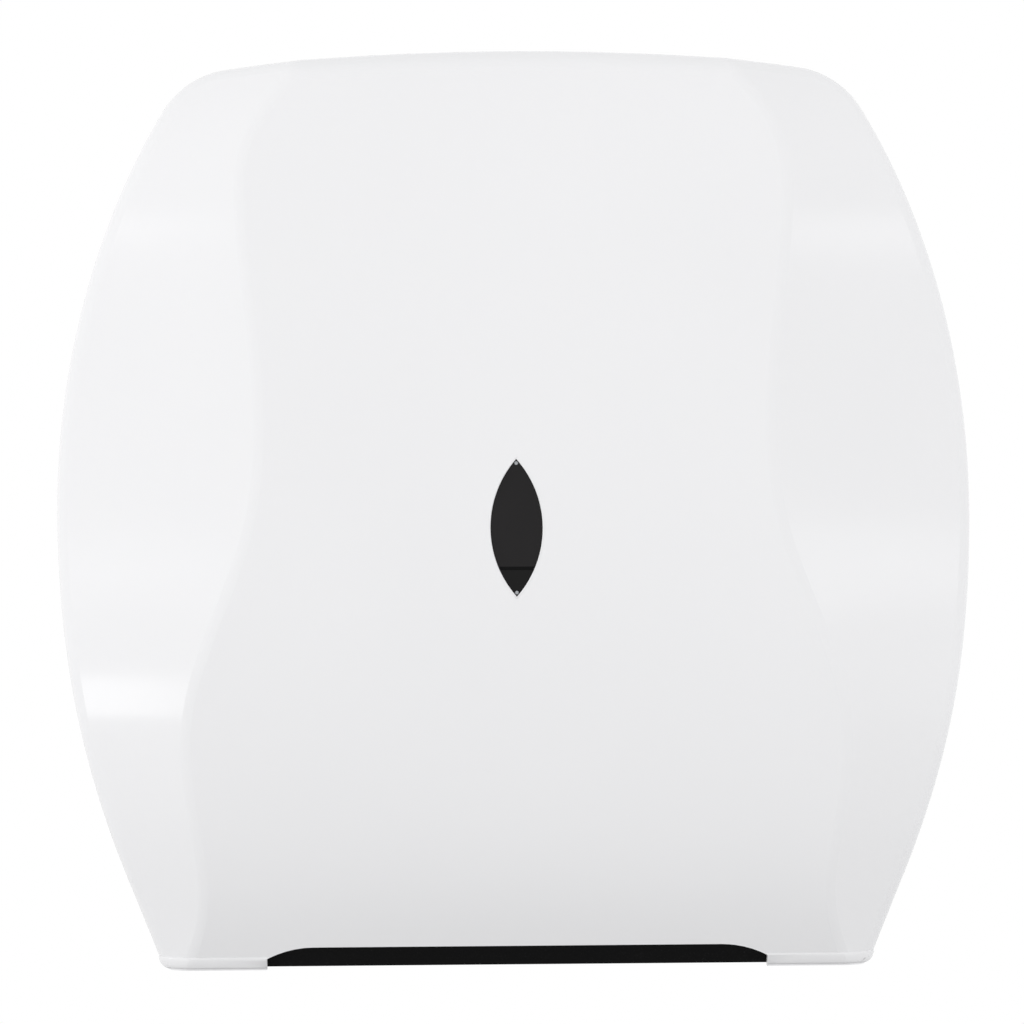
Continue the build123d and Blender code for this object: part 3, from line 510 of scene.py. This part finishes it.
# Along the ramp, 0 is straight down, 0.5 is eye level and 1 is straight up.
stops = ((0.2, ROOM_BELOW), (0.48, ROOM_SIDE), (0.62, ROOM_SIDE), (0.85, ROOM_TOP))
while len(rise.color_ramp.elements) < len(stops):
    rise.color_ramp.elements.new(0.5)
for element, (position, grey) in zip(rise.color_ramp.elements, stops):
    element.position, element.color = position, (grey, grey, grey, 1)
across = add_node(tree, "ShaderNodeMath", operation="MULTIPLY_ADD")
across.inputs[1].default_value, across.inputs[2].default_value = -ROOM_LEAN, ROOM_STRENGTH
tree.links.new(where.outputs["Generated"], way.inputs["Vector"])
tree.links.new(way.outputs["Z"], height.inputs["Value"])
tree.links.new(height.outputs["Result"], rise.inputs["Fac"])
tree.links.new(rise.outputs["Color"], dome.inputs["Color"])
tree.links.new(way.outputs["X"], across.inputs[0])
tree.links.new(across.outputs["Value"], dome.inputs["Strength"])
print("room:", ROOM_SIDE, "at eye level,", ROOM_BELOW, "below,", ROOM_TOP, "overhead")

# %% [markdown]
# Camera, glossy and see-through rays meet plain white instead of the dome, as in the
# photograph. Only the light that falls on the dispenser comes from the dome.
# %% White surroundings
white = add_node(tree, "ShaderNodeBackground")
white.inputs["Color"].default_value = (1, 1, 1, 1)
rays = add_node(tree, "ShaderNodeLightPath")
seen = add_node(tree, "ShaderNodeMath", operation="MAXIMUM")
seen_or_through = add_node(tree, "ShaderNodeMath", operation="MAXIMUM")
choose = add_node(tree, "ShaderNodeMixShader")
tree.links.new(rays.outputs["Is Camera Ray"], seen.inputs[0])
tree.links.new(rays.outputs["Is Glossy Ray"], seen.inputs[1])
tree.links.new(seen.outputs["Value"], seen_or_through.inputs[0])
tree.links.new(rays.outputs["Is Transmission Ray"], seen_or_through.inputs[1])
tree.links.new(seen_or_through.outputs["Value"], choose.inputs["Fac"])
tree.links.new(dome.outputs["Background"], choose.inputs[1])
tree.links.new(white.outputs["Background"], choose.inputs[2])
tree.links.new(choose.outputs["Shader"], tree.nodes["World Output"].inputs["Surface"])
print("white for camera, glossy and see-through rays")

# %% [markdown]
# Three small soft lamps stand beside the dispenser, where the slanted facets mirror them. Two
# on the left make two bright patches, of which the lower is the brighter, and one on the
# right makes a weak band. The lamps stand near, so each patch stays short: a little higher or
# lower, the facet mirrors something else.
# %% Lamps


def soft_lamp(name, place, aim, size, radiance):
    """A rectangular lamp that shines evenly; its power follows from its size."""
    data = bpy.data.lights.new(name, "AREA")
    data.shape = "RECTANGLE"
    data.size, data.size_y = size
    data.energy = math.pi * radiance * size[0] * size[1]
    lamp = bpy.data.objects.new(name, data)
    bpy.context.scene.collection.objects.link(lamp)
    lamp.location = place
    lamp.rotation_euler = (Vector(aim) - Vector(place)).to_track_quat("-Z", "Y").to_euler()
    lamp.visible_camera = False
    print(name, round(data.energy, 3), "W")
    return lamp


LAMP_X, LAMP_Y, FACET_X, FACET_Y = 0.83, -0.37, 0.13, -0.10
# Each lamp has a name, a side, a height, a width and height of its face, and a radiance.
for name, side, height, size, radiance in (
        ("low_left_softbox", -1, -0.12, (0.12, 0.16), 2.8),
        ("high_left_softbox", -1, 0.155, (0.12, 0.05), 1.4),
        ("right_softbox", 1, 0.14, (0.14, 0.06), 1.4)):
    soft_lamp(name, (side * LAMP_X, LAMP_Y, height), (side * FACET_X, FACET_Y, height), size, radiance)

# %% [markdown]
# The floor is one square well below the dispenser. It is darker right under the dispenser for
# the light that it throws back up, which keeps the underside of the chin in shade.
# %% Floor
FLOOR_DROP, FLOOR_REACH = 0.25, 1.5

bm = bmesh.new()
bmesh.ops.create_grid(bm, x_segments=1, y_segments=1, size=FLOOR_REACH)
bmesh.ops.translate(bm, verts=bm.verts, vec=(0, 0, FOOT - FLOOR_DROP))
mesh = bpy.data.meshes.new("floor")
bm.to_mesh(mesh)
bm.free()
floor = bpy.data.objects.new("floor", mesh)
bpy.context.scene.collection.objects.link(floor)
print("floor at Z =", round(FOOT - FLOOR_DROP, 3), "m")

# %% [markdown]
# The floor's shader chooses by the kind of ray: the camera sees a pale floor, and every other
# ray meets a grey that grows to white with the distance from the dispenser.
# %% Floor shader
SEEN_FLOOR, NEAR_BOUNCE, FAR_BOUNCE = 0.82, 0.52, 1.0
NEAR, FAR = 0.2, 0.65           # the distances in metres between which the colour grows

pale = bpy.data.materials.new("pale_floor")
pale.use_nodes = True
tree = pale.node_tree
tree.nodes.remove(tree.nodes["Principled BSDF"])
seen_floor = add_node(tree, "ShaderNodeBsdfDiffuse", Color=(SEEN_FLOOR, SEEN_FLOOR, SEEN_FLOOR, 1))
bounce = add_node(tree, "ShaderNodeBsdfDiffuse")
spot = add_node(tree, "ShaderNodeTexCoord")
flatten = add_node(tree, "ShaderNodeVectorMath", operation="MULTIPLY")
flatten.inputs[1].default_value = (1, 1, 0)
distance = add_node(tree, "ShaderNodeVectorMath", operation="LENGTH")
spread = add_node(tree, "ShaderNodeMapRange")
for socket, value in (("From Min", NEAR), ("From Max", FAR), ("To Min", NEAR_BOUNCE),
                      ("To Max", FAR_BOUNCE)):
    spread.inputs[socket].default_value = value
tree.links.new(spot.outputs["Object"], flatten.inputs[0])
tree.links.new(flatten.outputs["Vector"], distance.inputs[0])
tree.links.new(distance.outputs["Value"], spread.inputs["Value"])
tree.links.new(spread.outputs["Result"], bounce.inputs["Color"])
rays = add_node(tree, "ShaderNodeLightPath")
choose = add_node(tree, "ShaderNodeMixShader")
tree.links.new(rays.outputs["Is Camera Ray"], choose.inputs["Fac"])
tree.links.new(bounce.outputs["BSDF"], choose.inputs[1])
tree.links.new(seen_floor.outputs["BSDF"], choose.inputs[2])
tree.links.new(choose.outputs["Shader"], tree.nodes["Material Output"].inputs["Surface"])
floor.data.materials.append(pale)
print("floor shader:", pale.name)

# %% [markdown]
# The view transform is Standard, so that white stays white.
# %% View transform, and the end
bpy.context.scene.view_settings.view_transform = "Standard"
